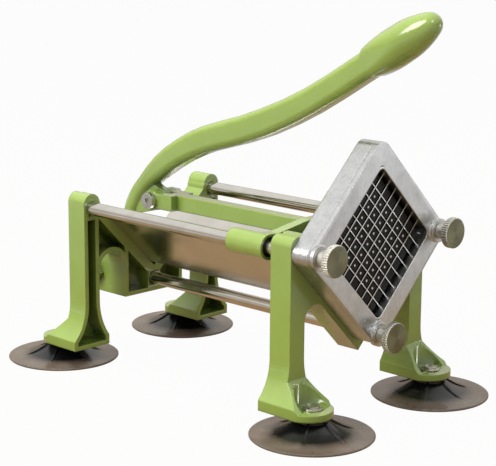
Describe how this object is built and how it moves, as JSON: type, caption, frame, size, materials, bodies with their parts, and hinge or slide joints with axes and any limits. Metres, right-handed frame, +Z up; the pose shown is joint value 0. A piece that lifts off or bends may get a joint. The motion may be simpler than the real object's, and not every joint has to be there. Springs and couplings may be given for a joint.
{
  "type": "french fry cutter",
  "caption": "Lever-operated french fry cutter: a pusher slides on two rods over a V trough and presses a potato through a square blade grid, on suction cup feet.",
  "frame": {"origin": "on the table plane under the suction cups, midway between the front and rear cup centres, on the centre plane", "axes": "+X forwards to the blade end, +Z up, +Y to the far side of the machine"},
  "size_m": [0.3676, 0.2238, 0.2916],
  "materials": {
    "green_paint": "gloss",
    "polished_steel": "polished",
    "stainless_sheet": "satin",
    "blade_steel": "ground",
    "zinc_steel": "zinc plated",
    "cast_alloy": "satin",
    "black_plastic": "moulded",
    "white_plastic": "moulded",
    "cup_rubber": "gloss"
  },
  "bodies": {
    "base": {"rear_casting": "green_paint", "front_casting": "green_paint", "rod_near": "polished_steel", "rod_far": "polished_steel", "tie_rod": "polished_steel", "trough": "stainless_sheet", "blade_frame": "cast_alloy", "face_frame": "cast_alloy", "blades_rising": "blade_steel", "blades_falling": "blade_steel", "pivot_bolt": "zinc_steel", "pivot_nut": "zinc_steel", "cup_rear_near": "cup_rubber", "cup_rear_far": "cup_rubber", "cup_front_near": "cup_rubber", "cup_front_far": "cup_rubber", "stud_rear_near": "zinc_steel", "stud_rear_far": "zinc_steel", "stud_front_near": "zinc_steel", "stud_front_far": "zinc_steel"},
    "lever": {"lever": "green_paint", "lever_grip": "green_paint", "lever_bush": "zinc_steel"},
    "link": {"link": "green_paint", "link_bolt": "zinc_steel", "link_nut": "zinc_steel"},
    "carriage": {"carriage": "green_paint", "bush_near": "black_plastic", "bush_far": "black_plastic", "pusher_block": "black_plastic", "pusher_plate": "cast_alloy", "pusher_pins": "white_plastic", "pusher_screws": "zinc_steel", "link_front_pin": "zinc_steel"},
    "nut_near": {"thumb_nut_near": "green_paint"},
    "nut_far": {"thumb_nut_far": "green_paint"},
    "nut_low": {"thumb_nut_low": "green_paint"}
  },
  "joints": [
    {"name": "lever_pivot", "type": "hinge", "parent": "base", "child": "lever", "pos_m": [-0.136, 0, 0.066], "axis": [0, -1, 0], "range_deg": [0, 74]},
    {"name": "link_pivot", "type": "hinge", "parent": "lever", "child": "link", "pos_m": [-0.09, 0, 0.1292], "axis": [0, -1, 0], "range_deg": [-74, 0]},
    {"name": "carriage_slide", "type": "slide", "parent": "base", "child": "carriage", "axis": [1, 0, 0], "range_m": [-0.0942, 0]},
    {"name": "nut_near_turn", "type": "hinge", "parent": "base", "child": "nut_near", "pos_m": [0.15, -0.0663, 0.1283], "axis": [1, 0, 0], "continuous": true},
    {"name": "nut_far_turn", "type": "hinge", "parent": "base", "child": "nut_far", "pos_m": [0.15, 0.0663, 0.1283], "axis": [1, 0, 0], "continuous": true},
    {"name": "nut_low_turn", "type": "hinge", "parent": "base", "child": "nut_low", "pos_m": [0.15, 0, 0.0612], "axis": [1, 0, 0], "continuous": true}
  ],
  "couplings": [
    {"joint": "link_pivot", "follows": "lever_pivot", "ratio": -1},
    {"joint": "carriage_slide", "follows": "lever_pivot", "m_per_rad": -0.0729}
  ]
}
